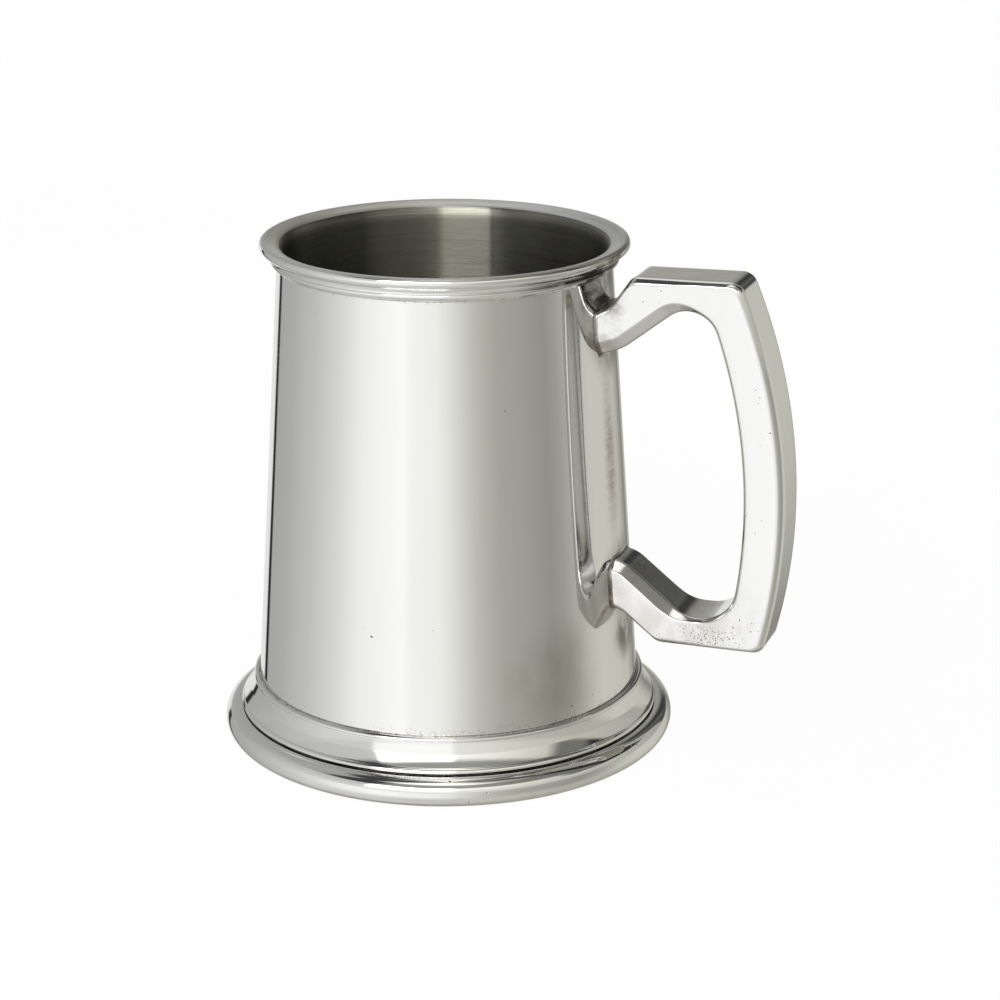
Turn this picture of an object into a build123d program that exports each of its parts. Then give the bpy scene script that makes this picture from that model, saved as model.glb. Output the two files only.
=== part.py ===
from build123d import *
import math
import os

# One-pint pewter tankard: tapered barrel, cast lip, stepped base, cast handle.
# Millimetres.  Origin on the table under the middle of the foot, +Z up, handle along +X.

# Barrel: a plain tapered tube
WALL = 1.3
BARREL_LOW_Z = 7.4
BARREL_TOP_Z = 115.6
SHELF_Z = 14.7
BARREL_RADIUS_AT_SHELF = 45.5
TAPER = 0.0665

# Lip: a cast ring over the top of the barrel
MOUTH_RADIUS = 38.3
MOUTH_Z = 119.0
LIP_EDGE_RADIUS = 1.2
LIP_OUTER_RADIUS = 42.8
LIP_SKIRT_Z = 114.4

# Base moulding: a collar round the foot of the barrel
SHELF_RADIUS = 46.9
BAND_LOW_RADIUS = 48.35
BAND_LOW_Z = 9.85
MOULDING_RADIUS = 50.2
NOTCH_RADIUS = 49.2
NOTCH_HALF_HEIGHT = 0.25

# Foot: a half-round ring, hollow underneath
FOOT_RADIUS = 54.0
FOOT_ROUND = 3.48
FOOT_SHELL = 1.8
FLANGE_RADIUS = 44.75
REST_INNER_RADIUS = 49.4

# Floor: a disc soldered inside the barrel
FLOOR_TOP_Z = 11.3
FLOOR_THICKNESS = 1.5

# Solder beads
BEAD = 0.5
FLOOR_BEAD = 0.9
COLLAR_REACH = 0.9
COLLAR_THICKNESS = 0.7

# Handle: one flat casting in the XZ plane
HANDLE_WIDTH = 14.6
HANDLE_TOP_Z = 116.2
HANDLE_BACK_X = 83.5
HANDLE_BACK_Z = 62.5
HANDLE_DEPTH = 9.4
OUTER_BEVEL = 1.4
INNER_BEVEL_FACE = 1.2
INNER_BEVEL_SIDE = 2.4
OUTER_ARC = 130.0
INNER_ARC = 125.0
CORNER_ROUNDS = {
    "neck": 6.0,
    "shoulder": 2.5,
    "outer_top": 2.6,
    "outer_low": 3.0,
    "heel": 3.5,
    "under_arm": 7.0,
    "upper_bend": 14.0,
    "inner_top": 7.5,
    "inner_toe": 9.3,
    "inner_low": 9.0,
    "lower_bend": 8.0,
}


def barrel_radius(z):
    """Outside radius of the barrel at a height."""
    return BARREL_RADIUS_AT_SHELF - TAPER * (z - SHELF_Z)


def bore_radius(z):
    """Inside radius of the barrel at a height."""
    return barrel_radius(z) - WALL


def turned(*edges):
    """Solid of revolution about Z from edges drawn as (radius, height)."""
    with BuildPart() as part:
        with BuildSketch(Plane.XZ):
            with BuildLine():
                for edge in edges:
                    add(edge)
            make_face()
        revolve(axis=Axis.Z)
    return part.part


def path(*points):
    """Straight lines through (radius, height) points."""
    return Polyline(*points)


def barrel():
    low, top = BARREL_LOW_Z, BARREL_TOP_Z
    return turned(path(
        (bore_radius(low), low),
        (barrel_radius(low), low),
        (barrel_radius(top), top),
        (bore_radius(top), top),
        (bore_radius(low), low),
    ))


def lip_ring():
    centre = LIP_OUTER_RADIUS - LIP_EDGE_RADIUS
    crown = (centre, MOUTH_Z + LIP_EDGE_RADIUS)
    under = (centre, MOUTH_Z - LIP_EDGE_RADIUS)
    cove_low = (40.05, 115.95)
    bead_out = (40.3, 115.35)
    skirt = (barrel_radius(LIP_SKIRT_Z) + 0.6, LIP_SKIRT_Z)
    mouth = (MOUTH_RADIUS, MOUTH_Z)
    throat = (bore_radius(BARREL_TOP_Z), BARREL_TOP_Z)
    return turned(
        ThreePointArc(mouth, (40.0, 119.95), crown),
        ThreePointArc(crown, (LIP_OUTER_RADIUS, MOUTH_Z), under),
        ThreePointArc(under, (40.7, 117.05), cove_low),
        ThreePointArc(cove_low, (40.28, 115.7), bead_out),
        ThreePointArc(bead_out, (40.1, 114.85), skirt),
        path(
            skirt,
            (barrel_radius(LIP_SKIRT_Z), LIP_SKIRT_Z),
            (barrel_radius(BARREL_TOP_Z), BARREL_TOP_Z),
            throat,
        ),
        ThreePointArc(throat, (37.65, MOUTH_Z - 1.3), mouth),
    )


def base_moulding():
    low = BARREL_LOW_Z
    shelf_edge = (SHELF_RADIUS - 0.5, SHELF_Z)
    shelf_side = (SHELF_RADIUS, SHELF_Z - 0.5)
    band_top = (SHELF_RADIUS - 0.1, SHELF_Z - 1.05)
    band_low = (BAND_LOW_RADIUS, BAND_LOW_Z)
    lip = (MOULDING_RADIUS, low + 0.45)
    return turned(
        path((barrel_radius(SHELF_Z), SHELF_Z), shelf_edge),
        ThreePointArc(shelf_edge, (SHELF_RADIUS - 0.15, SHELF_Z - 0.15), shelf_side),
        path(shelf_side, band_top),
        ThreePointArc(band_top, (47.45, 11.8), band_low),
        ThreePointArc(band_low, (49.35, 8.95), lip),
        path(
            lip,
            (MOULDING_RADIUS - 0.2, low + NOTCH_HALF_HEIGHT),
            (NOTCH_RADIUS, low + NOTCH_HALF_HEIGHT),
            (NOTCH_RADIUS, low),
            (barrel_radius(low), low),
            (barrel_radius(SHELF_Z), SHELF_Z),
        ),
    )


def foot_ring():
    top = BARREL_LOW_Z
    centre = FOOT_RADIUS - FOOT_ROUND
    inner_round = FOOT_ROUND - FOOT_SHELL
    crown = (centre, 2 * FOOT_ROUND)
    rest_outer = (centre + 0.7, 0)
    rest_inner = (REST_INNER_RADIUS, 0)
    hollow_top = (centre, FOOT_ROUND + inner_round)
    hollow_low = (REST_INNER_RADIUS, FOOT_ROUND - inner_round + 0.5)
    return turned(
        path(
            (FLANGE_RADIUS, top),
            (NOTCH_RADIUS, top),
            (NOTCH_RADIUS, top - NOTCH_HALF_HEIGHT),
            (centre - 0.5, top - NOTCH_HALF_HEIGHT),
            crown,
        ),
        ThreePointArc(crown, (FOOT_RADIUS, FOOT_ROUND), rest_outer),
        path(rest_outer, rest_inner, hollow_low),
        ThreePointArc(hollow_low, (centre + inner_round, FOOT_ROUND), hollow_top),
        path(hollow_top, (FLANGE_RADIUS, FOOT_ROUND + inner_round + 0.3), (FLANGE_RADIUS, top)),
    )


def floor_disc():
    low = FLOOR_TOP_Z - FLOOR_THICKNESS
    return turned(path(
        (0, low),
        (bore_radius(low), low),
        (bore_radius(FLOOR_TOP_Z), FLOOR_TOP_Z),
        (0, FLOOR_TOP_Z),
        (0, low),
    ))


def rim_solder():
    """Bead in the corner under the skirt of the lip."""
    low = LIP_SKIRT_Z - BEAD
    return turned(path(
        (barrel_radius(low), low),
        (barrel_radius(LIP_SKIRT_Z) + BEAD, LIP_SKIRT_Z),
        (barrel_radius(LIP_SKIRT_Z), LIP_SKIRT_Z),
        (barrel_radius(low), low),
    ))


def base_solder():
    """Bead in the corner where the barrel meets the shelf of the moulding."""
    top = SHELF_Z + BEAD
    return turned(path(
        (barrel_radius(SHELF_Z), SHELF_Z),
        (barrel_radius(SHELF_Z) + BEAD, SHELF_Z),
        (barrel_radius(top), top),
        (barrel_radius(SHELF_Z), SHELF_Z),
    ))


def foot_solder():
    """Ring of solder at the bottom of the groove between moulding and foot."""
    low = BARREL_LOW_Z - NOTCH_HALF_HEIGHT
    top = BARREL_LOW_Z + NOTCH_HALF_HEIGHT
    return turned(path(
        (NOTCH_RADIUS, low),
        (NOTCH_RADIUS + 0.35, low),
        (NOTCH_RADIUS + 0.35, top),
        (NOTCH_RADIUS, top),
        (NOTCH_RADIUS, low),
    ))


def floor_solder():
    """Bead round the floor, inside the barrel."""
    top = FLOOR_TOP_Z + FLOOR_BEAD
    return turned(path(
        (bore_radius(FLOOR_TOP_Z) - FLOOR_BEAD, FLOOR_TOP_Z),
        (bore_radius(FLOOR_TOP_Z), FLOOR_TOP_Z),
        (bore_radius(top), top),
        (bore_radius(FLOOR_TOP_Z) - FLOOR_BEAD, FLOOR_TOP_Z),
    ))


def on_arc(top_x, top_z, radius, z):
    """Point at a height on an arc that bulges furthest towards +X at (top_x, top_z)."""
    return (top_x - radius + math.sqrt(radius ** 2 - (z - top_z) ** 2), z)


def handle_corners():
    """Corners of the side view of the handle, by name, as (x, z)."""
    inner_x = HANDLE_BACK_X - HANDLE_DEPTH
    return {
        "upper_end_top": (34, 104.6),
        "neck": (42.6, 109.1),
        "shoulder": (47.1, HANDLE_TOP_Z - 0.6),
        "outer_top": on_arc(HANDLE_BACK_X, HANDLE_BACK_Z, OUTER_ARC, HANDLE_TOP_Z),
        "outer_low": on_arc(HANDLE_BACK_X, HANDLE_BACK_Z, OUTER_ARC, 29.5),
        "heel": (54.4, 29.2),
        "under_arm": (46.2, 35.6),
        "lower_end_low": (36, 38.6),
        "lower_end_top": (36, 49.9),
        "lower_bend": (46.2, 47.2),
        "inner_toe": (59.9, 36.4),
        "inner_low": on_arc(inner_x, HANDLE_BACK_Z, INNER_ARC, 36.4),
        "inner_top": on_arc(inner_x, HANDLE_BACK_Z, INNER_ARC, 113.1),
        "upper_bend": (44.84, 98.7),
        "upper_end_low": (34, 95.3),
    }


def outer_side():
    """Outer side of the handle, from the upper end round the back to the lower end."""
    at = handle_corners()
    with BuildLine(Plane.XZ) as side:
        Polyline(at["upper_end_top"], at["neck"], at["shoulder"], at["outer_top"])
        ThreePointArc(at["outer_top"], (HANDLE_BACK_X, HANDLE_BACK_Z), at["outer_low"])
        Polyline(at["outer_low"], at["heel"], at["under_arm"], at["lower_end_low"])
    return side.line


def inner_side():
    """Side of the handle that faces the fingers, from the lower end to the upper end."""
    at = handle_corners()
    with BuildLine(Plane.XZ) as side:
        Polyline(at["lower_end_top"], at["lower_bend"], at["inner_toe"], at["inner_low"])
        ThreePointArc(
            at["inner_low"],
            (HANDLE_BACK_X - HANDLE_DEPTH, HANDLE_BACK_Z),
            at["inner_top"],
        )
        Polyline(at["inner_top"], at["upper_bend"], at["upper_end_low"])
    return side.line


def handle_outline(grow=0.0):
    """Side view of the handle with sharp corners, its ends running on inside the barrel."""
    at = handle_corners()
    with BuildSketch(Plane.XZ) as sketch:
        with BuildLine():
            Polyline(at["upper_end_top"], at["neck"], at["shoulder"], at["outer_top"])
            ThreePointArc(at["outer_top"], (HANDLE_BACK_X, HANDLE_BACK_Z), at["outer_low"])
            Polyline(at["outer_low"], at["heel"], at["under_arm"], at["lower_end_low"])
            Polyline(at["lower_end_low"], at["lower_end_top"], at["lower_bend"])
            Polyline(at["lower_bend"], at["inner_toe"], at["inner_low"])
            ThreePointArc(
                at["inner_low"],
                (HANDLE_BACK_X - HANDLE_DEPTH, HANDLE_BACK_Z),
                at["inner_top"],
            )
            Polyline(at["inner_top"], at["upper_bend"], at["upper_end_low"], at["upper_end_top"])
        make_face()
        if grow:
            offset(amount=grow, kind=Kind.INTERSECTION)
    return sketch.sketch


def long_edges(blank, side, inner):
    """The flat face on one side of the handle, and its edges next to the fingers or away."""
    face = blank.faces().filter_by(Axis.Y).sort_by_distance((80, 100 * side, 60))[0]
    chosen = []
    for edge in face.edges():
        middle = edge @ 0.5
        spot = Vertex(middle.X, 0, middle.Z)
        near_fingers = spot.distance_to(inner_side()) < spot.distance_to(outer_side())
        if near_fingers == inner:
            chosen.append(edge)
    return face, chosen


def handle_blank():
    """The casting with rounded corners and bevelled long edges, before its ends are trimmed."""
    blank = extrude(handle_outline(), HANDLE_WIDTH / 2, both=True)
    at = handle_corners()
    for name, radius in CORNER_ROUNDS.items():
        x, z = at[name]
        corner = blank.edges().filter_by(Axis.Y).sort_by_distance((x, 0, z))[0]
        blank = fillet(corner, radius)
    for side in (-1, 1):
        face, edges = long_edges(blank, side, inner=True)
        blank = chamfer(edges, INNER_BEVEL_FACE, INNER_BEVEL_SIDE, reference=face)
        face, edges = long_edges(blank, side, inner=False)
        blank = chamfer(edges, OUTER_BEVEL)
    return blank


def barrel_core(extra=0.0):
    """Everything inside the outside surface of the barrel, grown by a little."""
    low, top = 0.0, 130.0
    return turned(path(
        (0, low),
        (barrel_radius(low) + extra, low),
        (barrel_radius(top) + extra, top),
        (0, top),
        (0, low),
    ))


def handle():
    return handle_blank() - barrel_core()


def handle_solder(low, high):
    """Collar of solder round one end of the handle, lying on the barrel."""
    band = Pos(0, 0, (low + high) / 2) * Box(200, 200, high - low)
    fat = extrude(handle_outline(COLLAR_REACH), HANDLE_WIDTH / 2 + COLLAR_REACH, both=True)
    skin = barrel_core(COLLAR_THICKNESS) - barrel_core()
    return (fat & skin & band) - handle_blank()


def assembly():
    return {
        "barrel": barrel(),
        "lip_ring": lip_ring(),
        "base_moulding": base_moulding(),
        "foot_ring": foot_ring(),
        "floor_disc": floor_disc(),
        "handle": handle(),
        "rim_solder": rim_solder(),
        "base_solder": base_solder(),
        "foot_solder": foot_solder(),
        "floor_solder": floor_solder(),
        "handle_solder_upper": handle_solder(90, 112),
        "handle_solder_lower": handle_solder(30, 56),
    }


os.makedirs("parts", exist_ok=True)
for name, solid in assembly().items():
    export_step(solid, f"parts/{name}.step")
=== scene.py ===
"""Looks of the one-pint pewter tankard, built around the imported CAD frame."""

import math

import bpy
from mathutils import Matrix, Vector, noise


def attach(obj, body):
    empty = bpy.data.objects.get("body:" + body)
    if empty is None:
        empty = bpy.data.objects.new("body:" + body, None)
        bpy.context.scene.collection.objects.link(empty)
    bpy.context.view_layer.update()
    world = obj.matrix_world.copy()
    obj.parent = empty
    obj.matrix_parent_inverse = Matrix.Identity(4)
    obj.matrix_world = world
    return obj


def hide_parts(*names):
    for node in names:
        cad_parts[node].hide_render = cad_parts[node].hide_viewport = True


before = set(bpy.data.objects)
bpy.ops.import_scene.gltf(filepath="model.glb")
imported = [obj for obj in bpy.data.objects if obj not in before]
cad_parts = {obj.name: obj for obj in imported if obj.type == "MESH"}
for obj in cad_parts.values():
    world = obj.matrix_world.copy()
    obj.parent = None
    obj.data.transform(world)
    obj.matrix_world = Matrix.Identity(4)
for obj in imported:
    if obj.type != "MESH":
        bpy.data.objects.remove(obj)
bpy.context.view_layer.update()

# Sizes in millimetres, +Z up, with the handle along +X
MM = 0.001
AROUND = 360
BEAD_AROUND = 720

WALL = 1.3
TAPER = 0.0665
SHELF_Z = 14.7
SHELF_BARREL_RADIUS = 45.5
BARREL_LOW_Z = 7.4
BARREL_TOP_Z = 115.6
FLOOR_TOP_Z = 11.3
LIP_SKIRT_Z = 114.4
MOULDING_LOW_Z = 7.38
FOOT_RADIUS = 54.0
FOOT_ROUND = 3.48
FOOT_WALL = 1.8
FOOT_NECK_RADIUS = 49.2
FOOT_INNER_RADIUS = 44.75

HANDLE_WIDTH = 14.6
HANDLE_BACK_X = 83.5
HANDLE_BACK_Z = 62.5
HANDLE_DEPTH = 9.4
OUTER_ARC = 130.0
INNER_ARC = 125.0
OUTER_EDGE_ROUND = 2.0
INNER_EDGE_ROUND = 0.35
HANDLE_STATIONS = 460
FLAT_STEPS = 5

# Finger-side bevel of the handle, as its reach across the face and down the side
BACK_BEVEL = (0.8, 0.8)
UPPER_ARM_BEVEL = (3.0, 1.4)
LOWER_ARM_BEVEL = (2.1, 2.4)
BEVEL_WIDEST_X = 55.0
BEVEL_NARROWEST_X = 64.0

# Fillets of solder at the ends of the handle
FILLET = 0.65
FILLET_UNEVEN = 0.35
FILLET_HOLLOW = 0.12
FILLET_LIFT = 0.02
FILLET_SUNK = 0.3

# Camera: horizontal distance and height in mm, angles in degrees
CAMERA_AZIMUTH = 21.0
CAMERA_DISTANCE = 610.8
CAMERA_HEIGHT = 256.8
CAMERA_PITCH = 18.19
CAMERA_YAW = 1.18
CAMERA_ROLL = -0.15
CAMERA_LENS = 97.3
SENSOR_WIDTH = 36.0


# ---------------------------------------------------------------- drawing helpers

def barrel_radius(z):
    return SHELF_BARREL_RADIUS - TAPER * (z - SHELF_Z)


def bore_radius(z):
    return barrel_radius(z) - WALL


def arc(centre, radius, start, end, steps=10):
    """Points on an arc, angles in degrees from +radius towards +height."""
    points = []
    for i in range(steps + 1):
        angle = math.radians(start + (end - start) * i / steps)
        points.append((centre[0] + radius * math.cos(angle), centre[1] + radius * math.sin(angle)))
    return points


def bend(start, through, end, steps=12):
    """Smooth curve between two points that passes near a third."""
    points = []
    for i in range(steps + 1):
        t = i / steps
        a, b, c = (1 - t) ** 2, 2 * t * (1 - t), t ** 2
        points.append(tuple(a * s + b * m + c * e for s, m, e in zip(start, through, end)))
    return points


def softened(outline, corner):
    """A closed outline with each sharp corner cut by a small round of the given reach."""
    points = []
    count = len(outline)
    for i, here in enumerate(outline):
        here = Vector(here)
        back = Vector(outline[i - 1]) - here
        ahead = Vector(outline[(i + 1) % count]) - here
        turn = math.degrees(back.angle(ahead, math.pi))
        reach = min(corner, 0.4 * back.length, 0.4 * ahead.length)
        if turn > 160 or reach < 0.01:
            points.append(tuple(here))
            continue
        first = here + back.normalized() * reach
        last = here + ahead.normalized() * reach
        points.extend(bend(first, here, last, 4))
    return points


def new_piece(name, vertices, faces, material, smooth_angle=40):
    """A mesh piece in metres that rides with the tankard."""
    mesh = bpy.data.meshes.new(name)
    mesh.from_pydata([Vector(v) * MM for v in vertices], [], faces)
    mesh.validate()
    piece = bpy.data.objects.new(name, mesh)
    bpy.context.scene.collection.objects.link(piece)
    mesh.shade_smooth()
    mesh.set_sharp_from_angle(angle=math.radians(smooth_angle))
    mesh.materials.append(material)
    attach(piece, "root")
    return piece


def turned(name, outline, material, wobble=None, around=AROUND):
    """A closed outline of (radius, height) points spun about Z."""
    vertices = []
    faces = []
    count = len(outline)
    for i in range(around):
        angle = 2 * math.pi * i / around
        for radius, z in outline:
            if wobble:
                radius, z = wobble(angle, radius, z)
            vertices.append((radius * math.cos(angle), radius * math.sin(angle), z))
    for i in range(around):
        a = i * count
        b = ((i + 1) % around) * count
        for j in range(count):
            k = (j + 1) % count
            faces.append((a + j, b + j, b + k, a + k))
    return new_piece(name, vertices, faces, material)


# ---------------------------------------------------------------- node helpers

class NodeTree:
    """Short calls for building a node tree."""

    def __init__(self, owner):
        owner.use_nodes = True
        self.nodes = owner.node_tree.nodes
        self.links = owner.node_tree.links

    def add(self, kind, **settings):
        node = self.nodes.new(kind)
        for name, value in settings.items():
            setattr(node, name, value)
        return node

    def feed(self, node, socket, value):
        if isinstance(value, bpy.types.NodeSocket):
            self.links.new(value, node.inputs[socket])
        else:
            node.inputs[socket].default_value = value

    def ramp(self, value, low, high, to_low=0.0, to_high=1.0):
        node = self.add("ShaderNodeMapRange", interpolation_type="SMOOTHSTEP")
        self.feed(node, "Value", value)
        node.inputs["From Min"].default_value = low
        node.inputs["From Max"].default_value = high
        node.inputs["To Min"].default_value = to_low
        node.inputs["To Max"].default_value = to_high
        return node.outputs["Result"]

    def math(self, operation, a, b=0.0):
        node = self.add("ShaderNodeMath", operation=operation)
        self.feed(node, 0, a)
        self.feed(node, 1, b)
        return node.outputs[0]

    def mix(self, amount, a, b):
        node = self.add("ShaderNodeMix", data_type="RGBA")
        self.feed(node, "Factor", amount)
        self.feed(node, 6, (*a, 1) if isinstance(a, tuple) else a)
        self.feed(node, 7, (*b, 1) if isinstance(b, tuple) else b)
        return node.outputs[2]

    def along(self, vector, direction):
        node = self.add("ShaderNodeVectorMath", operation="DOT_PRODUCT")
        self.feed(node, 0, vector)
        node.inputs[1].default_value = direction
        return node.outputs["Value"]

    def stepped(self, value, stops):
        """Grey or colour that runs between (position from 0 to 1, colour) stops."""
        node = self.add("ShaderNodeValToRGB")
        elements = node.color_ramp.elements
        elements.remove(elements[0])
        elements[0].position = 0.0
        for position, colour in stops:
            element = elements[0] if position == 0 else elements.new(position)
            element.color = (*colour, 1)
        self.feed(node, "Fac", value)
        return node.outputs["Color"]


class Shader(NodeTree):
    """A node material, with short calls for the detail of a surface."""

    def __init__(self, name):
        self.material = bpy.data.materials.new(name)
        super().__init__(self.material)
        self.surface = self.nodes["Principled BSDF"]
        self.place = self.add("ShaderNodeTexCoord").outputs["Object"]

    def scaled(self, scale, turn=(0, 0, 0)):
        node = self.add("ShaderNodeMapping")
        self.feed(node, "Vector", self.place)
        node.inputs["Scale"].default_value = scale
        node.inputs["Rotation"].default_value = turn
        return node.outputs["Vector"]

    def noise(self, scale=(1, 1, 1), detail=3.0, roughness=0.55, turn=(0, 0, 0)):
        node = self.add("ShaderNodeTexNoise")
        self.feed(node, "Vector", self.scaled(scale, turn))
        node.inputs["Scale"].default_value = 1.0
        node.inputs["Detail"].default_value = detail
        node.inputs["Roughness"].default_value = roughness
        return node.outputs["Fac"]

    def axis(self, letter):
        node = self.add("ShaderNodeSeparateXYZ")
        self.feed(node, "Vector", self.place)
        return node.outputs[letter]

    def near(self, point, reach):
        """1 at a point given in mm, falling to 0 at the given reach from it."""
        node = self.add("ShaderNodeVectorMath", operation="DISTANCE")
        self.feed(node, 0, self.place)
        node.inputs[1].default_value = Vector(point) * MM
        return self.ramp(node.outputs["Value"], 0.25 * reach * MM, reach * MM, 1.0, 0.0)

    def band(self, value, low, middle, high):
        """1 where the value is at the middle, falling to 0 at low and at high."""
        rise = self.ramp(value, low, middle)
        fall = self.ramp(value, middle, high, 1.0, 0.0)
        return self.math("MULTIPLY", rise, fall)

    def zone(self, low, middle, high):
        """1 at a middle height given in mm, falling to 0 at the low and the high one."""
        return self.band(self.axis("Z"), low * MM, middle * MM, high * MM)

    def specks(self, scale, size, soft=0.6):
        """Small irregular dots, the given share of a cell across."""
        warp = self.add("ShaderNodeTexNoise")
        self.feed(warp, "Vector", self.scaled((scale * 2.5,) * 3))
        warp.inputs["Scale"].default_value = 1.0
        spread = self.add("ShaderNodeVectorMath", operation="MULTIPLY_ADD")
        self.feed(spread, 0, warp.outputs["Color"])
        spread.inputs[1].default_value = (0.5, 0.5, 0.5)
        self.feed(spread, 2, self.scaled((scale,) * 3))
        cells = self.add("ShaderNodeTexVoronoi")
        self.feed(cells, "Vector", spread.outputs["Vector"])
        cells.inputs["Scale"].default_value = 1.0
        return self.ramp(cells.outputs["Distance"], size * soft, size, 1.0, 0.0)

    def brushed_round_axis(self, amount):
        """Stretch highlights across the lines that turning leaves."""
        tangent = self.add("ShaderNodeTangent", direction_type="RADIAL", axis="Z")
        self.feed(self.surface, "Tangent", tangent.outputs["Tangent"])
        self.surface.inputs["Anisotropic"].default_value = amount
        self.surface.inputs["Anisotropic Rotation"].default_value = 0.25

    def bump(self, height, distance, strength=1.0, below=None):
        node = self.add("ShaderNodeBump")
        self.feed(node, "Height", height)
        node.inputs["Distance"].default_value = distance
        node.inputs["Strength"].default_value = strength
        if below is not None:
            self.feed(node, "Normal", below)
        return node.outputs["Normal"]

    def finish(self, colour, roughness, normal=None, metallic=1.0):
        self.feed(self.surface, "Base Color", (*colour, 1) if isinstance(colour, tuple) else colour)
        self.feed(self.surface, "Roughness", roughness)
        self.surface.inputs["Metallic"].default_value = metallic
        if normal is not None:
            self.feed(self.surface, "Normal", normal)
        return self.material


# ---------------------------------------------------------------- materials

PEWTER = (0.80, 0.80, 0.79)
PEWTER_DULL = (0.70, 0.69, 0.65)
TARNISH = (0.34, 0.26, 0.21)
PIT = (0.05, 0.045, 0.04)
JOINT_LINE = (0.10, 0.085, 0.07)
PAINTED_SHADE = (0.12, 0.10, 0.08)
HANDLE_PAINTED_SHADE = (0.20, 0.165, 0.13)
LIP_PAINTED_SHADE = (0.05, 0.042, 0.035)
HAND_WEAR = (0.31, 0.25, 0.215)
HANDLED = (0.50, 0.455, 0.385)
FOOT_LOW_TONE = (0.56, 0.50, 0.42)
SMUDGE = (0.60, 0.585, 0.55)
UNDERSIDE_PAINTED_SHADE = (0.42, 0.385, 0.33)
SOLDER_GRAIN = (0.08, 0.065, 0.055)

# Marks on the metal and patches of painted shade, each as a place in mm and how far it reaches
HANDLED_SPOT = ((36.5, -25.5, 26.0), 17.0)
LIP_SPOT = ((42.0, -5.0, 117.0), 14.0)
LIP_HOLLOW_SPOT = ((39.0, -12.0, 116.0), 24.0)
PITTED_SPOT = ((64.0, -7.3, 31.0), 14.0)
SMUDGED_SPOT = ((62.0, -7.3, 33.0), 27.0)
BARREL_PAINTED_SHADE_SPOTS = (
    ((40.0, 0.0, 101.0), 13.0),
    ((39.5, 0.0, 111.5), 13.0),
    ((43.5, 0.0, 42.0), 13.0),
    ((45.0, 0.0, 29.0), 9.0),
)
HANDLE_PAINTED_SHADE_SPOTS = (
    ((40.5, 0.0, 101.0), 12.0),
    ((44.0, 0.0, 42.0), 10.0),
    ((42.5, -5.0, 109.5), 6.0),
)

# Painted shade in the bore, with one painted bright reflection strip: mm from the axis across the
# strip, and the share of the colour that is left.
# The heading is the direction across the strip, in degrees from +X towards +Y.
BORE_PAINTED_LIGHT_HEADING = 21.0
BORE_PAINTED_LIGHT_REACH = 40.0
BORE_PAINTED_LIGHT = (
    (-40, 0.30), (-20, 0.34), (-15, 0.62), (-2, 0.75), (0, 1.25), (10.5, 1.25), (11.5, 0.52),
    (20, 0.48), (27, 0.34), (39, 0.32),
)


def polished(s, gloss, smear=0.25):
    """Colour, roughness and bump of buffed pewter: faint smears and the finest turning lines."""
    smears = s.noise((70, 70, 18), detail=4)
    turning = s.noise((14, 14, 6500), detail=2)
    colour = s.mix(s.ramp(smears, 0.5, 0.85, 0, smear), PEWTER, PEWTER_DULL)
    rough = s.ramp(smears, 0.45, 0.8, gloss, gloss + 0.05)
    rough = s.math("ADD", rough, s.ramp(turning, 0.4, 0.7, 0, 0.02))
    return colour, rough, s.bump(turning, 0.000004, 0.5)


def stained(s, colour, rough, mask, stain=TARNISH, dulling=0.3):
    """Lay a stain over a finish where the mask says."""
    return s.mix(mask, colour, stain), s.math("ADD", rough, s.math("MULTIPLY", mask, dulling))


def pitted(s, colour, rough, normal, where, scale=900, size=0.2):
    """Casting pits where the mask says."""
    pits = s.math("MULTIPLY", s.specks(scale, size), where)
    colour, rough = stained(s, colour, rough, pits, PIT, 0.5)
    return colour, rough, s.bump(s.math("MULTIPLY", pits, -1.0), 0.00012, 1.0, normal)


def hand_worn_streak(s):
    """A worn streak down the barrel behind the fingers, between the ends of the handle."""
    angle = s.math("ARCTAN2", s.axis("Y"), s.axis("X"))
    strokes = s.noise((160, 160, 620), detail=6, roughness=0.75, turn=(0.25, 0, 0))
    streak = s.band(angle, math.radians(-10), math.radians(-4.5), math.radians(2))
    streak = s.math("MULTIPLY", streak, s.zone(47, 72, 100))
    return s.math("MULTIPLY", streak, s.ramp(strokes, 0.32, 0.62, 0.35, 0.9))


def barrel_pewter():
    s = Shader("pewter_barrel")
    colour, rough, normal = polished(s, 0.035)
    fine = s.noise((1100, 1100, 1500), detail=4, roughness=0.75)
    uneven = s.ramp(s.noise((28, 28, 28), detail=2), 0.4, 0.62, 0.2, 1.0)
    low_band = s.math("MULTIPLY", s.zone(14.3, 14.8, 17.4), uneven)
    specks = s.math("MULTIPLY", low_band, s.ramp(fine, 0.52, 0.66, 0, 0.6))
    colour, rough = stained(s, colour, rough, specks)
    low_line = s.math("MULTIPLY", s.zone(14.3, 14.6, 14.95), 0.85)
    colour, rough = stained(s, colour, rough, low_line, JOINT_LINE)
    high_band = s.math("MULTIPLY", s.zone(113.4, 114.3, 114.8), uneven)
    specks = s.math("MULTIPLY", high_band, s.ramp(fine, 0.52, 0.64, 0, 0.6))
    colour, rough = stained(s, colour, rough, specks)

    colour, rough = stained(s, colour, rough, hand_worn_streak(s), HAND_WEAR, 0.18)
    # Painted shade and reflection of the handle: dark patches on the barrel near the handle's ends
    joint_shade_noise = s.ramp(s.noise((200, 200, 110), detail=3), 0.35, 0.6, 0.35, 0.9)
    for point, reach in BARREL_PAINTED_SHADE_SPOTS:
        patch = s.math("MULTIPLY", s.near(point, reach), joint_shade_noise)
        colour, rough = stained(s, colour, rough, patch, PAINTED_SHADE, 0.15)
    smears = s.ramp(s.noise((70, 70, 45), detail=3), 0.35, 0.65, 0.15, 0.6)
    handled = s.math("MULTIPLY", s.near(*HANDLED_SPOT), smears)
    colour, rough = stained(s, colour, rough, handled, HANDLED, 0.12)
    few = s.ramp(s.noise((40, 40, 40), detail=1), 0.58, 0.66, 0, 0.8)
    colour, rough, normal = pitted(s, colour, rough, normal, few, 330, 0.09)
    return s.finish(colour, rough, normal)


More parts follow.
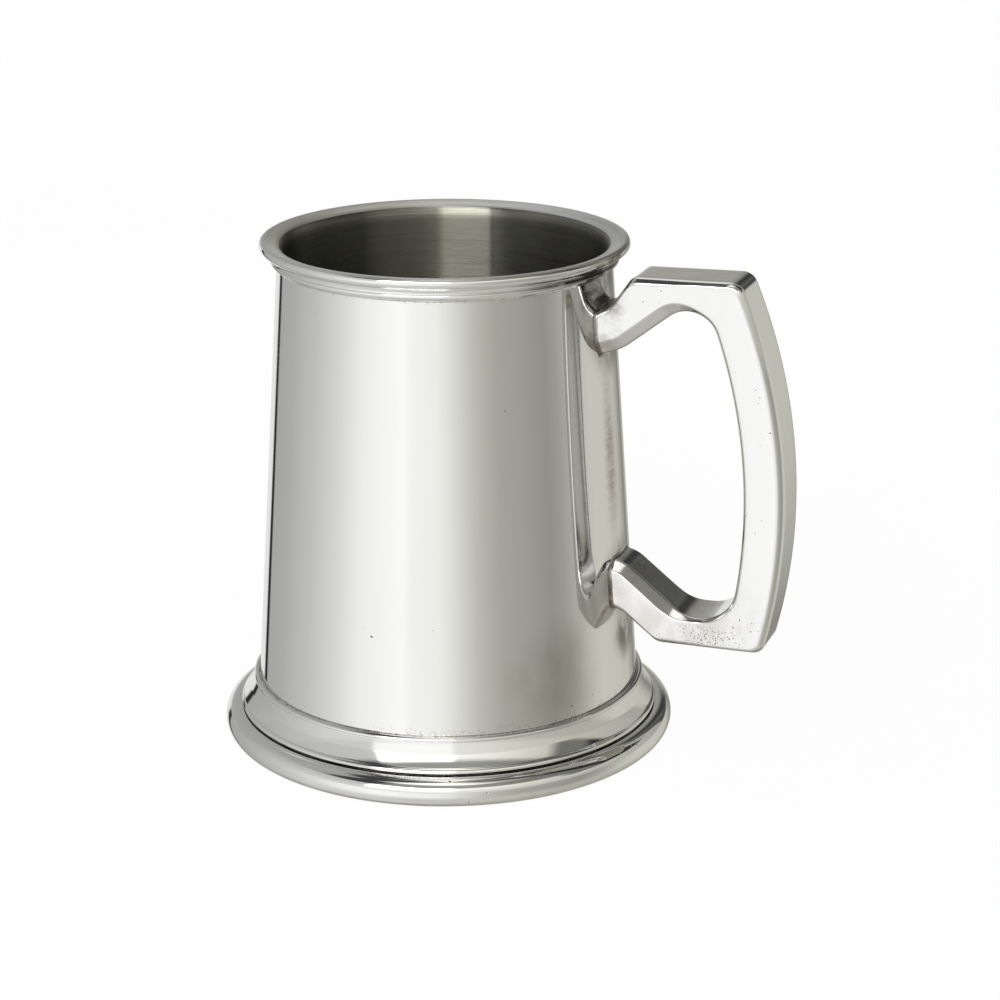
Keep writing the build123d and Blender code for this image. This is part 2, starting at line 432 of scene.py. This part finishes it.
def lip_pewter():
    s = Shader("pewter_lip")
    colour, rough, normal = polished(s, 0.05)
    fine = s.noise((900, 900, 900), detail=4, roughness=0.75)
    seam = s.math("MULTIPLY", s.zone(114.2, 114.5, 115.0), s.ramp(fine, 0.5, 0.64, 0, 0.5))
    colour, rough = stained(s, colour, rough, seam)
    # Painted shade and dark reflection under the rolled edge on the handle side, as a patch and in the
    # hollow below it
    joint_shade_noise = s.noise((200, 200, 300), detail=3)
    patch = s.math("MULTIPLY", s.near(*LIP_SPOT), s.ramp(joint_shade_noise, 0.35, 0.6, 0.3, 0.9))
    colour, rough = stained(s, colour, rough, patch, PAINTED_SHADE, 0.2)
    hollow = s.math("MULTIPLY", s.zone(115.2, 116.1, 117.4), s.near(*LIP_HOLLOW_SPOT))
    hollow = s.math("MULTIPLY", hollow, s.ramp(joint_shade_noise, 0.3, 0.5, 0.4, 1.0))
    colour, rough = stained(s, colour, rough, hollow, LIP_PAINTED_SHADE, 0.15)
    return s.finish(colour, rough, normal)


def base_pewter():
    s = Shader("pewter_base")
    colour, rough, normal = polished(s, 0.045)
    fine = s.noise((900, 900, 900), detail=4, roughness=0.75)
    edges = s.math("ADD", s.zone(13.9, 14.7, 15.5), s.zone(6.6, 7.5, 8.1))
    edges = s.math("MULTIPLY", edges, s.ramp(fine, 0.54, 0.68, 0, 0.35))
    colour, rough = stained(s, colour, rough, edges)
    few = s.ramp(s.noise((55, 55, 55), detail=1), 0.6, 0.68, 0, 0.7)
    colour, rough, normal = pitted(s, colour, rough, normal, few, 420, 0.09)
    return s.finish(colour, rough, normal)


def foot_pewter():
    s = Shader("pewter_foot")
    colour, rough, normal = polished(s, 0.06, 0.4)
    # Warmer, duller tone towards the bottom edge of the foot
    low = s.ramp(s.axis("Z"), 0.3 * MM, 3.2 * MM, 1.0, 0.0)
    foot_low_tone = s.math("MULTIPLY", low, s.ramp(s.noise((160, 160, 220), detail=5), 0.35, 0.7, 0.15, 0.7))
    colour, rough = stained(s, colour, rough, foot_low_tone, FOOT_LOW_TONE, 0.2)
    few = s.ramp(s.noise((48, 48, 48), detail=1), 0.56, 0.64)
    colour, rough, normal = pitted(s, colour, rough, normal, few, 480, 0.13)
    return s.finish(colour, rough, normal)


def handle_pewter():
    s = Shader("pewter_handle")
    colour, rough, normal = polished(s, 0.08, 0.6)
    for_pits = s.ramp(s.noise((130, 130, 130), detail=3), 0.42, 0.58)
    low_run = s.math("MULTIPLY", s.near(*PITTED_SPOT), for_pits)
    low_run = s.math("MULTIPLY", low_run, s.ramp(s.axis("Z"), 33.5 * MM, 35.5 * MM, 1.0, 0.0))
    colour, rough, normal = pitted(s, colour, rough, normal, low_run, 1700, 0.30)
    colour, rough, normal = pitted(s, colour, rough, normal, low_run, 800, 0.16)
    few = s.ramp(s.noise((60, 60, 60), detail=1), 0.56, 0.66)
    colour, rough, normal = pitted(s, colour, rough, normal, few, 600, 0.12)
    # Painted shade and dark reflection on the handle near its joints with the barrel
    joint_shade_noise = s.ramp(s.noise((240, 240, 240), detail=5, roughness=0.7), 0.42, 0.62, 0.1, 0.75)
    for point, reach in HANDLE_PAINTED_SHADE_SPOTS:
        patch = s.math("MULTIPLY", s.near(point, reach), joint_shade_noise)
        colour, rough = stained(s, colour, rough, patch, HANDLE_PAINTED_SHADE, 0.15)
    smudges = s.noise((95, 95, 60), detail=5, roughness=0.65)
    dulled = s.math("MULTIPLY", s.near(*SMUDGED_SPOT), s.ramp(smudges, 0.40, 0.62, 0.15, 0.75))
    colour, rough = stained(s, colour, rough, dulled, SMUDGE, 0.1)
    # Painted shade: faces of the handle that point down are darkened and browned
    facing = s.add("ShaderNodeSeparateXYZ")
    s.feed(facing, "Vector", s.add("ShaderNodeTexCoord").outputs["Normal"])
    painted_underside_shade = s.ramp(facing.outputs["Z"], -0.5, -0.2, 0.75, 0.0)
    colour, rough = stained(s, colour, rough, painted_underside_shade, UNDERSIDE_PAINTED_SHADE, 0.06)
    uneven = s.bump(s.noise((150, 150, 150), detail=2), 0.00012, 0.4, normal)
    return s.finish(colour, rough, uneven)


def painted_bore_light(s, colour):
    """Painted shade darkens the bore to either side of one strip, which is brightened as a painted
    reflection.
    """
    heading = math.radians(BORE_PAINTED_LIGHT_HEADING)
    across = s.along(s.place, (math.cos(heading), math.sin(heading), 0))
    place = s.math("ADD", s.math("MULTIPLY", across, 1 / (2 * BORE_PAINTED_LIGHT_REACH * MM)), 0.5)
    stops = [((distance / BORE_PAINTED_LIGHT_REACH + 1) / 2, (value,) * 3) for distance, value in BORE_PAINTED_LIGHT]
    darkened = s.add("ShaderNodeVectorMath", operation="MULTIPLY")
    s.feed(darkened, 0, colour)
    s.feed(darkened, 1, s.stepped(place, stops))
    return darkened.outputs["Vector"]


def satin_pewter(name, colour_high, colour_low, brushed, with_painted_bore_light=False):
    """Dull pewter with the lines left by turning."""
    s = Shader(name)
    lines = s.noise((25, 25, 1700), detail=4, roughness=0.7)
    rings = s.noise((25, 25, 420), detail=3)
    blotches = s.noise((45, 45, 45), detail=5)
    colour = s.mix(s.ramp(blotches, 0.35, 0.7), colour_high, colour_low)
    colour = s.mix(s.ramp(lines, 0.4, 0.75, 0, 0.5), colour, tuple(0.5 * value for value in colour_low))
    normal = s.bump(rings, 0.00010, 0.3, s.bump(lines, 0.00005, 0.5))
    s.brushed_round_axis(brushed)
    # Painted shade and a painted reflection strip in the bore, when asked for
    if with_painted_bore_light:
        colour = painted_bore_light(s, colour)
    return s.finish(colour, s.ramp(lines, 0.3, 0.7, 0.30, 0.40), normal)


def solder(name, pale, dark):
    """Lead-grey solder, uneven, with dark residues."""
    s = Shader(name)
    grains = s.noise((600, 600, 600), detail=4, roughness=0.7)
    patches = s.noise((170, 170, 170), detail=4)
    colour = s.mix(s.ramp(patches, 0.42, 0.6), pale, dark)
    colour = s.mix(s.ramp(grains, 0.5, 0.7, 0, 0.6), colour, SOLDER_GRAIN)
    return s.finish(colour, s.ramp(grains, 0.3, 0.7, 0.12, 0.4), s.bump(grains, 0.00005, 0.7))


# ---------------------------------------------------------------- turned pieces

def make_barrel(material):
    steps = 60
    heights = [BARREL_LOW_Z + (BARREL_TOP_Z - BARREL_LOW_Z) * i / steps for i in range(steps + 1)]
    outside = [(barrel_radius(z), z) for z in heights]
    inside = [(radius - WALL, z) for radius, z in reversed(outside)]
    piece = turned("barrel_shell", outside + inside, material["barrel"])
    piece.data.materials.append(material["inside"])
    for face in piece.data.polygons:
        x, y, z = (value / MM for value in face.center)
        if math.hypot(x, y) < barrel_radius(z) - 0.9 * WALL:
            face.material_index = 1
    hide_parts("barrel")


def make_lip(material):
    bead_centre = (41.6, 119.0)
    bead_round = 1.2
    crown = (bead_centre[0], bead_centre[1] + bead_round)
    throat = (bore_radius(BARREL_TOP_Z), BARREL_TOP_Z)
    skirt = barrel_radius(LIP_SKIRT_Z)

    # The flare inside the mouth, then the satin top and its rolled edge
    outline = bend(throat, (37.35, 117.4), (37.75, 118.25), 8)
    outline += bend((37.8, 118.36), (38.05, 118.85), (38.45, 119.1), 6)
    flare_points = len(outline) - 2
    outline += bend((38.6, 119.2), (40.2, 119.95), crown, 10)
    top_points = len(outline) + 6
    outline += arc(bead_centre, bead_round, 80, -90, 24)

    # The hollow below the edge, the small bead and the skirt, then back up inside the joint
    outline += bend((41.45, 117.78), (40.1, 117.3), (40.05, 116.1), 10)
    outline += bend((40.05, 116.0), (40.45, 115.9), (40.3, 115.35), 8)
    outline += bend((40.25, 115.2), (39.7, 114.95), (skirt + 0.5, LIP_SKIRT_Z), 8)
    outline += [(skirt, LIP_SKIRT_Z), (barrel_radius(BARREL_TOP_Z), BARREL_TOP_Z)]

    piece = turned("lip_ring_shape", outline, material["lip"])
    piece.data.materials.append(material["lip_top"])
    piece.data.materials.append(material["inside"])
    for face in piece.data.polygons:
        step = face.index % len(outline)
        if step < flare_points:
            face.material_index = 2
        elif step < top_points:
            face.material_index = 1
    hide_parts("lip_ring")


def make_base_moulding(material):
    # Rounded top edge, hollow flare, small step and band, then back up inside the joints
    outline = [(barrel_radius(14.38), 14.38)]
    outline += arc((46.22, 14.02), 0.68, 148, -10, 16)
    outline += bend((46.86, 13.8), (46.8, 13.7), (46.82, 13.6), 4)
    outline += bend((46.86, 13.5), (47.25, 12.3), (47.75, 11.1), 16)
    outline += bend((47.8, 11.0), (48.55, 9.7), (49.35, 8.6), 14)
    outline += bend((49.42, 8.52), (50.0, 8.2), (50.12, 7.6), 10)
    outline += [(50.05, MOULDING_LOW_Z), (FOOT_NECK_RADIUS, MOULDING_LOW_Z)]
    outline += [(FOOT_NECK_RADIUS, BARREL_LOW_Z), (barrel_radius(BARREL_LOW_Z), BARREL_LOW_Z)]
    piece = turned("base_moulding_shape", outline, material["base"])
    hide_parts("base_moulding")


def make_foot(material):
    centre = (FOOT_RADIUS - FOOT_ROUND, FOOT_ROUND)
    hollow = FOOT_ROUND - FOOT_WALL
    inner_edge = FOOT_NECK_RADIUS + 0.2

    # Flat top under the moulding, round outside, standing edge, then the hollow underneath
    outline = [(FOOT_INNER_RADIUS, BARREL_LOW_Z), (FOOT_NECK_RADIUS, BARREL_LOW_Z)]
    outline += [(FOOT_NECK_RADIUS, 6.99), (50.2, 6.97)]
    outline += arc(centre, FOOT_ROUND, 89, -76, 44)
    outline += [(centre[0] + 0.5, 0.0), (inner_edge + 0.1, 0.0)]
    outline += [(inner_edge, 0.1), (inner_edge, centre[1] - hollow + 0.5)]
    outline += arc(centre, hollow, -50, 88, 14)
    outline += [(FOOT_INNER_RADIUS, centre[1] + hollow + 0.3)]
    piece = turned("foot_ring_shape", softened(outline, 0.12), material["foot"])
    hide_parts("foot_ring")


def bead_wobble(seed, amount):
    """Uneven edge for a bead of solder: each point moves off the even section a little."""
    def wobble(angle, radius, z):
        spot = Vector((math.cos(angle) * 9, math.sin(angle) * 9, seed))
        fine = Vector((math.cos(angle) * 40, math.sin(angle) * 40, seed + z * 0.3))
        shift = amount * (noise.noise(spot) + 0.6 * noise.noise(fine))
        return radius + shift * 0.5, z + shift
    return wobble


def make_bead(name, outline, material, seed, amount):
    """One bead of solder round the tankard."""
    return turned(name, outline, material, bead_wobble(seed, amount), BEAD_AROUND)


def bead_outline(corner, start, through, end, root):
    """Section of a bead in a corner: a bend from start to end, and a root inside the metal."""
    radius, z = corner
    shifted = [(radius + across, z + up) for across, up in (start, through, end, root)]
    return bend(*shifted[:3], 6) + shifted[3:]


def make_ring_beads(material):
    under_lip = (barrel_radius(LIP_SKIRT_Z), LIP_SKIRT_Z)
    rim = bead_outline(under_lip, (-0.1, -0.4), (0.1, -0.1), (0.4, 0.1), (-0.2, 0.2))
    piece = make_bead("rim_solder_bead", rim, material["bead"], 3.0, 0.07)
    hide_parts("rim_solder")

    on_shelf = (barrel_radius(SHELF_Z), SHELF_Z)
    base = bead_outline(on_shelf, (0.2, -0.25), (0.05, -0.2), (-0.03, 0.0), (-0.25, -0.4))
    piece = make_bead("base_solder_bead", base, material["bead"], 11.0, 0.03)
    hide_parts("base_solder")

    round_floor = (bore_radius(FLOOR_TOP_Z), FLOOR_TOP_Z)
    floor = bead_outline(round_floor, (-1.0, -0.05), (-0.2, 0.15), (0.0, 0.95), (0.15, -0.15))
    piece = make_bead("floor_solder_bead", floor, material["solder"], 23.0, 0.15)
    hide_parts("floor_solder")

    groove = arc((49.35, 7.2), 0.2, -150, 150, 8)
    piece = make_bead("foot_solder_bead", groove, material["groove"], 31.0, 0.05)
    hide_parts("foot_solder")


# ---------------------------------------------------------------- handle

def on_arc(top_x, top_z, radius, z):
    """Point at a height on an arc that bulges furthest towards +X at (top_x, top_z)."""
    return (top_x - radius + math.sqrt(radius ** 2 - (z - top_z) ** 2), z)


def line(start, end, step=0.5):
    """Points along a straight leg of the handle's outline."""
    start, end = Vector(start), Vector(end)
    count = max(2, round((end - start).length / step))
    return [start.lerp(end, i / count) for i in range(count + 1)]


def back_arc(top_x, radius, start_z, end_z, step=0.6):
    """Points along the bowed back of the handle."""
    count = round(abs(end_z - start_z) / step)
    heights = [start_z + (end_z - start_z) * i / count for i in range(count + 1)]
    return [Vector(on_arc(top_x, HANDLE_BACK_Z, radius, z)) for z in heights]


def trimmed(points, reach):
    """The leg without its first stretch of the given length."""
    travelled = 0.0
    for i in range(len(points) - 1):
        step = (points[i + 1] - points[i]).length
        if travelled + step > reach:
            cut = points[i].lerp(points[i + 1], (reach - travelled) / step)
            return [cut] + points[i + 1:]
        travelled += step
    return points[-1:]


def joined(legs, radii):
    """Legs of an outline joined by rounds of the given radii."""
    path = legs[0]
    for leg, radius in zip(legs[1:], radii):
        arriving = (path[-1] - path[-2]).normalized()
        leaving = (leg[1] - leg[0]).normalized()
        turn = arriving.angle(leaving)
        reach = radius * math.tan(turn / 2)
        before = trimmed(path[::-1], reach)[::-1]
        after = trimmed(leg, reach)
        arriving = (before[-1] - before[-2]).normalized()
        leaving = (after[1] - after[0]).normalized()
        turn = arriving.angle(leaving)
        span = (after[0] - before[-1]).length
        pull = 4 / 3 * math.tan(turn / 4) * span / (2 * math.sin(turn / 2))
        a, d = before[-1], after[0]
        b, c = a + arriving * pull, d - leaving * pull
        steps = max(6, round(math.degrees(turn) / 5))
        round_part = []
        for i in range(1, steps):
            t = i / steps
            u = 1 - t
            round_part.append(a * u ** 3 + b * 3 * u * u * t + c * 3 * u * t * t + d * t ** 3)
        path = before + round_part + after
    return path


def resampled(path, count):
    """The same curve as evenly spaced points."""
    lengths = [0.0]
    for a, b in zip(path, path[1:]):
        lengths.append(lengths[-1] + (b - a).length)
    points = []
    i = 0
    for k in range(count):
        target = lengths[-1] * k / (count - 1)
        while i < len(path) - 2 and lengths[i + 1] < target:
            i += 1
        share = (target - lengths[i]) / max(lengths[i + 1] - lengths[i], 1e-9)
        points.append(path[i].lerp(path[i + 1], min(max(share, 0.0), 1.0)))
    return points


def side_normals(path):
    """Unit normals to the left of travel along a curve."""
    normals = []
    for i in range(len(path)):
        ahead = path[min(i + 1, len(path) - 1)] - path[max(i - 1, 0)]
        normals.append(Vector((-ahead.y, ahead.x)).normalized())
    return normals


def outer_side():
    """Outer side of the handle, from inside the barrel wall at the top to the same at the bottom."""
    upper_root = (38.38, 106.9)
    neck = (42.6, 109.1)
    shoulder = (47.1, 115.6)
    back_top = on_arc(HANDLE_BACK_X, HANDLE_BACK_Z, OUTER_ARC, 116.2)
    back_low = on_arc(HANDLE_BACK_X, HANDLE_BACK_Z, OUTER_ARC, 29.5)
    heel = (54.4, 29.2)
    under_arm = (46.2, 35.6)
    lower_root = (43.05, 36.53)
    return joined(
        [
            line(upper_root, neck),
            line(neck, shoulder),
            line(shoulder, back_top),
            back_arc(HANDLE_BACK_X, OUTER_ARC, back_top[1], back_low[1]),
            line(back_low, heel),
            line(heel, under_arm),
            line(under_arm, lower_root),
        ],
        [6.0, 2.5, 3.6, 2.6, 3.5, 7.0],
    )


def inner_side():
    """Finger side of the handle, from the upper end to the lower end."""
    back_x = HANDLE_BACK_X - HANDLE_DEPTH
    upper_root = (39.02, 96.87)
    upper_bend = (44.84, 98.7)
    back_top = on_arc(back_x, HANDLE_BACK_Z, INNER_ARC, 113.1)
    back_low = on_arc(back_x, HANDLE_BACK_Z, INNER_ARC, 36.4)
    toe = (59.9, 36.4)
    lower_bend = (46.2, 47.2)
    lower_root = (42.2, 48.26)
    return joined(
        [
            line(upper_root, upper_bend),
            line(upper_bend, back_top),
            back_arc(back_x, INNER_ARC, back_top[1], back_low[1]),
            line(back_low, toe),
            line(toe, lower_bend),
            line(lower_bend, lower_root),
        ],
        [12.0, 7.5, 9.0, 9.3, 8.0],
    )


def inner_bevel(point):
    """Reach of the finger-side bevel across the face and down the side: wide on the arms."""
    share = (BEVEL_NARROWEST_X - point.x) / (BEVEL_NARROWEST_X - BEVEL_WIDEST_X)
    share = min(max(share, 0.0), 1.0)
    share *= share * (3 - 2 * share)
    widest = UPPER_ARM_BEVEL if point.y > HANDLE_BACK_Z else LOWER_ARM_BEVEL
    return [low + (high - low) * share for low, high in zip(BACK_BEVEL, widest)]


def corner_round(here, first, last, steps):
    """Quarter round from first to last, with its sharp corner here."""
    points = []
    for i in range(steps + 1):
        angle = math.radians(90 * i / steps)
        points.append(first + (here - first) * math.sin(angle) + (last - here) * (1 - math.cos(angle)))
    return points


def section(outer, inner, inward):
    """Cross-section of the handle at one station, as a loop of (x, y, z) points."""
    half = HANDLE_WIDTH / 2
    across, down = inner_bevel(inner)
    toe = inner + inward * across
    stops = [
        (Vector((inner.x, 0, inner.y)), 0.0),
        (Vector((inner.x, half - down, inner.y)), INNER_EDGE_ROUND),
        (Vector((toe.x, half, toe.y)), INNER_EDGE_ROUND),
        (Vector((outer.x, half, outer.y)), OUTER_EDGE_ROUND),
        (Vector((outer.x, 0, outer.y)), 0.0),
    ]
    half_loop = []
    for (before, _), (here, reach), (after, _) in zip(stops, stops[1:], stops[2:]):
        first = here + (before - here).normalized() * reach
        last = here + (after - here).normalized() * reach
        start = half_loop[-1] if half_loop else before
        skipped = 1 if half_loop else 0
        half_loop += [start.lerp(first, i / FLAT_STEPS) for i in range(skipped, FLAT_STEPS)]
        half_loop += corner_round(here, first, last, 10 if reach > 1 else 4)
    start, end = half_loop[-1], stops[-1][0]
    half_loop += [start.lerp(end, i / FLAT_STEPS) for i in range(1, FLAT_STEPS + 1)]
    mirrored = [Vector((p.x, -p.y, p.z)) for p in half_loop[-2:0:-1]]
    return half_loop + mirrored


def make_handle(material):
    """The casting, and the stations of its skin for the solder at its ends."""
    outer = resampled(outer_side(), HANDLE_STATIONS)
    inner = resampled(inner_side(), HANDLE_STATIONS)
    stations = [section(*sides) for sides in zip(outer, inner, side_normals(inner))]
    count = len(stations[0])
    vertices = [point for station in stations for point in station]
    faces = []
    for i in range(len(stations) - 1):
        a, b = i * count, (i + 1) * count
        for j in range(count):
            k = (j + 1) % count
            faces.append((a + j, a + k, b + k, b + j))
    faces.append(tuple(range(count - 1, -1, -1)))
    faces.append(tuple(range(len(vertices) - count, len(vertices))))
    piece = new_piece("handle_casting", vertices, faces, material["handle"], 30)
    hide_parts("handle")
    return stations


def joint_line(stations):
    """Where each line along the handle's skin leaves the barrel, and which way it runs there."""
    places = []
    for track in zip(*stations):
        for here, ahead in zip(track, track[1:]):
            gap = math.hypot(here.x, here.y) - barrel_radius(here.z)
            gap_ahead = math.hypot(ahead.x, ahead.y) - barrel_radius(ahead.z)
            if gap_ahead > 0:
                share = gap / (gap - gap_ahead)
                places.append((here.lerp(ahead, share), (ahead - here).normalized()))
                break
    return places


def make_fillet(name, node, stations, material):
    """A small hollow fillet of solder round one end of the handle."""
    places = joint_line(stations)
    count = len(places)
    centre = sum((spot for spot, _ in places), Vector()) / count
    steps = 6
    vertices = []
    for i, (spot, along) in enumerate(places):
        beside = (places[(i + 1) % count][0] - places[i - 1][0]).normalized()
        skin = along.cross(beside).normalized()
        if skin.dot(spot - centre) < 0:
            skin = -skin
        wall = Vector((spot.x, spot.y, TAPER * barrel_radius(spot.z))).normalized()
        away = (skin - wall * skin.dot(wall)).normalized()
        reach = FILLET * (1 + FILLET_UNEVEN * noise.noise(spot * 0.45))
        on_skin = spot + along * reach + skin * FILLET_LIFT
        on_wall = spot + away * reach + wall * FILLET_LIFT
        throat = spot + (skin + wall) * FILLET_HOLLOW
        vertices += bend(on_skin, throat, on_wall, steps)
        vertices.append(spot - (skin + wall) * FILLET_SUNK)
    size = steps + 2
    faces = []
    for i in range(count):
        a, b = i * size, ((i + 1) % count) * size
        for j in range(size):
            k = (j + 1) % size
            faces.append((a + j, b + j, b + k, a + k))
    piece = new_piece(name, vertices, faces, material["solder"], 60)
    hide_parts(node)


# ---------------------------------------------------------------- studio

def make_floor():
    reach = 4.0
    mesh = bpy.data.meshes.new("studio_floor")
    corners = [(-reach, -reach, 0), (reach, -reach, 0), (reach, reach, 0), (-reach, reach, 0)]
    mesh.from_pydata(corners, [], [(0, 1, 2, 3)])
    floor = bpy.data.objects.new("studio_floor", mesh)
    bpy.context.scene.collection.objects.link(floor)
    s = Shader("studio_floor")
    paper = s.ramp(s.noise((3, 3, 3)), 0.3, 0.7, 0.985, 0.995)
    s.feed(s.surface, "Emission Color", s.mix(0.5, paper, BACKDROP))
    s.surface.inputs["Emission Strength"].default_value = 0.965
    s.surface.inputs["Specular IOR Level"].default_value = 0.0
    mesh.materials.append(s.finish((0.06, 0.06, 0.06), 0.9, metallic=0.0))
    floor.visible_glossy = False


BACKDROP = (0.99, 0.99, 0.99)
WARM_TINT = 0.10
COLD_TINT = 0.04

# Brightness of the studio round the object: degrees from the camera, + to its right
NEAR_FLOOR = (
    (-180, 0.42), (-140, 0.45), (-100, 0.75), (-40, 0.76), (-20, 0.68), (30, 0.64), (90, 0.52),
    (140, 0.45), (180, 0.42),
)
WALLS = (
    (-180, 0.85), (-151, 0.85), (-150, 0.02), (-145, 0.02), (-144, 0.44), (-120, 0.50), (-106, 0.58),
    (-94, 0.64), (-73, 0.82), (-55, 1.05), (-38, 1.15), (-28, 1.20), (-22, 1.11), (-6, 1.05),
    (1, 0.94), (9, 0.78), (17, 0.63), (25, 0.53), (33, 0.46), (50, 0.41), (67, 0.35), (76, 0.40),
    (86, 0.50), (98, 0.63), (108, 0.68), (125, 0.66), (140, 0.60), (150, 0.40), (156, 0.25),
    (162, 0.45), (180, 0.85),
)
UPPER_WALLS = (
    (-180, 0.47), (-150, 0.45), (-110, 0.55), (-75, 0.75), (-34, 0.90), (2, 0.90), (20, 0.70),
    (50, 0.55), (100, 0.50), (135, 0.45), (138, 0.07), (156, 0.07), (162, 0.35), (180, 0.47),
)
WINDOW_SILLS = (
    (-180, 0.40), (-130, 0.45), (-80, 0.68), (-45, 0.74), (-42, 1.20), (0, 1.20), (4, 0.95),
    (38, 0.75), (60, 0.65), (100, 0.55), (135, 0.45), (138, 0.06), (145, 0.13), (151, 0.05),
    (158, 0.05), (166, 0.30), (180, 0.40),
)
WINDOWS = (
    (-180, 0.40), (-130, 0.45), (-80, 0.62), (-45, 0.66), (-42, 4.20), (0, 4.20), (4, 1.20),
    (38, 0.90), (60, 0.70), (68, 0.20), (84, 0.20), (90, 0.03), (122, 0.03), (125, 0.45), (135, 0.40),
    (138, 0.06), (145, 0.14), (151, 0.05), (158, 0.05), (166, 0.30), (180, 0.40),
)
DARK_BAND = (
    (-180, 0.90), (-160, 0.90), (-150, 0.40), (-110, 0.45), (-82, 0.40), (-73, 0.05), (-48, 0.06),
    (-38, 0.35), (10, 0.38), (45, 0.25), (80, 0.20), (86, 0.02), (118, 0.02), (124, 0.40), (150, 0.35),
    (180, 0.90),
)
CEILING = (
    (-180, 0.55), (-150, 0.50), (-140, 0.06), (-66, 0.06), (-56, 0.90), (-50, 1.30), (20, 1.30),
    (50, 0.50), (75, 0.40), (82, 0.10), (120, 0.10), (135, 0.40), (180, 0.55),
)


# Layers of the studio above the near floor: each takes over from the one below between two elevations
STUDIO_LAYERS = (
    (-55, -22, WALLS),
    (2, 7, UPPER_WALLS),
    (11, 13.5, WINDOW_SILLS),
    (24, 26.5, WINDOWS),
    (38, 43, DARK_BAND),
    (62, 67, CEILING),
)


def studio_light(degrees, value):
    """Colour of the studio at a heading: warmer to the camera's right, and cold where it is dark."""
    warmth = WARM_TINT * min(max((degrees + 15) / 40, 0), 1) if value > 0.1 else -COLD_TINT
    return (value, value, value * (1 - warmth))


def make_world():
    world = bpy.data.worlds.new("studio")
    bpy.context.scene.world = world
    tree = NodeTree(world)
    tree.nodes.clear()

    direction = tree.add("ShaderNodeTexCoord").outputs["Generated"]
    turn = math.radians(CAMERA_AZIMUTH)
    right = tree.along(direction, (math.cos(turn), math.sin(turn), 0))
    towards = tree.along(direction, (math.sin(turn), -math.cos(turn), 0))
    height = tree.along(direction, (0, 0, 1))
    angle = tree.math("ARCTAN2", right, towards)
    around = tree.math("ADD", tree.math("MULTIPLY", angle, 1 / (2 * math.pi)), 0.5)

    def layer(stops):
        places = [((degrees + 180) / 360, studio_light(degrees, value)) for degrees, value in stops]
        return tree.stepped(around, places)

    room = layer(NEAR_FLOOR)
    for low, high, stops in STUDIO_LAYERS:
        share = tree.ramp(height, math.sin(math.radians(low)), math.sin(math.radians(high)))
        room = tree.mix(share, room, layer(stops))

    # The camera sees a plain backdrop, and the metal reflects the room
    straight_to_camera = tree.add("ShaderNodeLightPath").outputs["Is Camera Ray"]
    background = tree.add("ShaderNodeBackground")
    tree.feed(background, "Color", tree.mix(straight_to_camera, room, BACKDROP))
    output = tree.add("ShaderNodeOutputWorld")
    tree.feed(output, "Surface", background.outputs["Background"])


def make_camera():
    azimuth = math.radians(CAMERA_AZIMUTH)
    camera = bpy.data.objects.new("camera", bpy.data.cameras.new("camera"))
    camera.data.lens = CAMERA_LENS
    camera.data.sensor_width = SENSOR_WIDTH
    camera.location = Vector((
        CAMERA_DISTANCE * math.sin(azimuth),
        -CAMERA_DISTANCE * math.cos(azimuth),
        CAMERA_HEIGHT,
    )) * MM
    heading = Matrix.Rotation(azimuth - math.radians(CAMERA_YAW), 3, "Z")
    tilt = Matrix.Rotation(math.radians(90 - CAMERA_PITCH), 3, "X")
    roll = Matrix.Rotation(math.radians(CAMERA_ROLL), 3, "Z")
    camera.rotation_euler = (heading @ tilt @ roll).to_euler()
    bpy.context.scene.collection.objects.link(camera)
    bpy.context.scene.camera = camera


# ---------------------------------------------------------------- assembly

materials = {
    "barrel": barrel_pewter(),
    "lip": lip_pewter(),
    "lip_top": satin_pewter("pewter_lip_top", (0.73, 0.73, 0.71), (0.67, 0.67, 0.64), brushed=0.5),
    "base": base_pewter(),
    "foot": foot_pewter(),
    "handle": handle_pewter(),
    # The inside carries painted shade and a painted reflection strip in the bore
    "inside": satin_pewter("pewter_inside", (0.66, 0.65, 0.565), (0.54, 0.53, 0.455), 0.96, with_painted_bore_light=True),
    "bead": solder("solder_line", (0.72, 0.71, 0.67), (0.52, 0.49, 0.43)),
    "solder": solder("solder_bead", (0.66, 0.64, 0.60), (0.24, 0.21, 0.18)),
    "groove": solder("solder_groove", (0.10, 0.09, 0.08), (0.03, 0.027, 0.025)),
}

make_barrel(materials)
make_lip(materials)
make_base_moulding(materials)
make_foot(materials)
make_ring_beads(materials)
handle_skin = make_handle(materials)
make_fillet("upper_joint_fillet", "handle_solder_upper", handle_skin, materials)
make_fillet("lower_joint_fillet", "handle_solder_lower", handle_skin[::-1], materials)
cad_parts["floor_disc"].data.materials[0] = materials["inside"]

make_camera()
make_floor()
make_world()
bpy.context.scene.view_settings.view_transform = "Standard"
